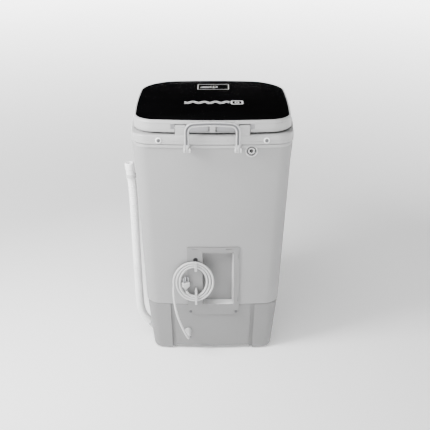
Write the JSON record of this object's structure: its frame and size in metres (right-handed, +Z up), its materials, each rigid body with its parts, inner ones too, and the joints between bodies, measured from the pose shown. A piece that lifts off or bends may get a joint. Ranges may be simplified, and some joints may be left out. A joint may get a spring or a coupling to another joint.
{
  "type": "top load washing machine",
  "caption": "Portable top load washing machine with a hinged flat lid, carry handle, wash tub, drain hose and a coiled cord on its rear hooks.",
  "frame": {"origin": "on the floor, under the middle of the machine", "axes": "+Z up, +Y towards the rear with the handle and the cord, +X towards the drain hose"},
  "size_m": [0.4355, 0.437, 0.676],
  "materials": {
    "white_plastic": "fine moulded satin",
    "lid_plastic": "smooth satin gloss",
    "black_panel": "polished black",
    "satin_metal": "satin plated",
    "hose_plastic": "milky corrugated",
    "cord_sheath": "soft vinyl",
    "black_rubber": "matt rubber",
    "zinc_steel": "bright zinc",
    "deck_steel": "primer grey",
    "brass": "plain",
    "cast_aluminium": "as cast",
    "tub_plastic": "smooth gloss",
    "filter_plastic": "satin",
    "pulsator_plastic": "satin gloss",
    "pulley_plastic": "glass filled",
    "motor_paint": "satin paint",
    "grey_hose": "matt",
    "grey_plastic": "satin",
    "wire_sleeve": "matt"
  },
  "bodies": {
    "root": {"cabinet_shell": "white_plastic", "base_skirt": "white_plastic", "base_deck": "deck_steel", "deck_screws": "zinc_steel", "foot_pads": "black_rubber", "top_rim": "white_plastic", "rim_screws": "zinc_steel", "hinge_knuckles": "white_plastic", "hinge_pins": "zinc_steel", "handle_brackets": "white_plastic", "water_inlet": "white_plastic", "inlet_pipe": "grey_hose", "access_panel": "white_plastic", "access_panel_screws": "zinc_steel", "cord_hook_upper": "white_plastic", "cord_hook_lower": "white_plastic", "rubber_grommet": "black_rubber", "cord_gland": "cord_sheath", "power_cord": "cord_sheath", "power_cord_coil": "cord_sheath", "power_cord_tail": "cord_sheath", "power_plug": "cord_sheath", "plug_blades": "brass", "drain_outlet": "white_plastic", "drain_hose": "hose_plastic", "hose_cuff": "hose_plastic", "hose_clip": "white_plastic", "wash_tub": "tub_plastic", "lint_filter": "filter_plastic", "drain_strainer": "filter_plastic", "drain_pipe": "black_rubber", "bearing_housing": "cast_aluminium", "shaft_bushes": "brass", "shaft_seal": "black_rubber", "drive_belt": "black_rubber", "motor_body": "motor_paint", "motor_bracket": "zinc_steel", "motor_mount_rubbers": "black_rubber", "motor_bolts": "zinc_steel", "capacitor": "grey_plastic", "wiring_harness": "wire_sleeve", "control_fascia": "grey_plastic", "timer_body": "grey_plastic"},
    "lid": {"lid_frame": "lid_plastic", "lid_glass": "black_panel", "lid_bumpers": "black_rubber"},
    "handle": {"carry_handle": "satin_metal"},
    "timer": {"timer_shaft": "zinc_steel", "timer_knob": "grey_plastic"},
    "pulsator_drive": {"pulsator": "pulsator_plastic", "pulsator_screw": "zinc_steel", "drive_shaft": "zinc_steel", "driven_pulley": "pulley_plastic", "pulley_nut": "zinc_steel"},
    "motor_rotor": {"motor_shaft": "zinc_steel", "motor_pulley": "cast_aluminium"}
  },
  "joints": [
    {"name": "lid_hinge", "type": "hinge", "parent": "root", "child": "lid", "pos_m": [0, 0.184, 0.651], "axis": [-1, 0, 0], "range_deg": [0, 95]},
    {"name": "handle_pivot", "type": "hinge", "parent": "root", "child": "handle", "pos_m": [0, 0.212, 0.604], "axis": [-1, 0, 0], "range_deg": [0, 180]},
    {"name": "timer_turn", "type": "hinge", "parent": "root", "child": "timer", "pos_m": [0, -0.2, 0.56], "axis": [0, 1, 0], "range_deg": [0, 300]},
    {"name": "pulsator_spin", "type": "hinge", "parent": "root", "child": "pulsator_drive", "pos_m": [0, 0.008, 0.25], "axis": [0, 0, 1], "continuous": true},
    {"name": "motor_spin", "type": "hinge", "parent": "root", "child": "motor_rotor", "pos_m": [0, -0.08, 0.25], "axis": [0, 0, 1], "continuous": true}
  ],
  "couplings": [
    {"joint": "motor_spin", "follows": "pulsator_spin", "ratio": 4.6154}
  ]
}
